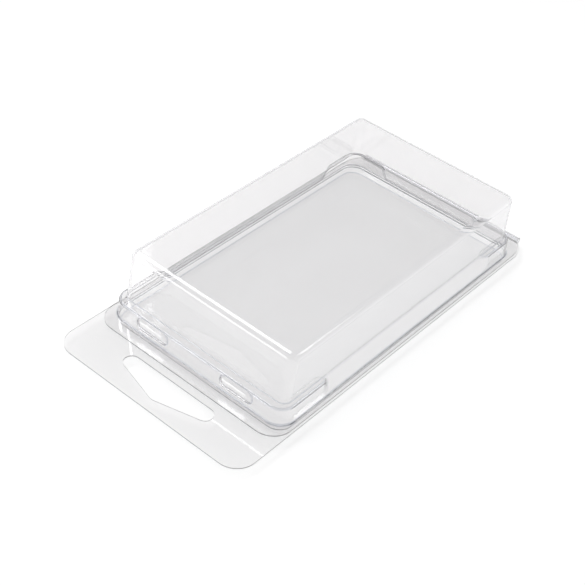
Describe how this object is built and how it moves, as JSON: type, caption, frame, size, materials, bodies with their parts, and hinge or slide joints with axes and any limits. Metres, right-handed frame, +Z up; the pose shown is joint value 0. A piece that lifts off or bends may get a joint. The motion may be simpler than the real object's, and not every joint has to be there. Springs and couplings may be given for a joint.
{
  "type": "hang tab blister pack",
  "caption": "Clear plastic hinged clamshell pack with a stepped box lid, a shallow base tray and a flat hang tab with a delta hole for display on a peg hook.",
  "frame": {"origin": "centre of the bounding box in plan, on the plane the tray floor stands on", "axes": "+Z up through the lid's top, +Y from the hang tab towards the hinge, +X to the right as seen from the tab"},
  "size_m": [0.0636, 0.1254, 0.0219],
  "materials": {
    "base_sheet": "clear glossy formed sheet",
    "lid_sheet": "clear glossy formed sheet"
  },
  "bodies": {
    "base": {"base_tray": "base_sheet"},
    "lid": {"lid": "lid_sheet"}
  },
  "joints": [
    {"name": "lid_hinge", "type": "hinge", "parent": "base", "child": "lid", "pos_m": [0, 0.06175, 0.00222], "axis": [-1, 0, 0], "range_deg": [0, 180]}
  ]
}
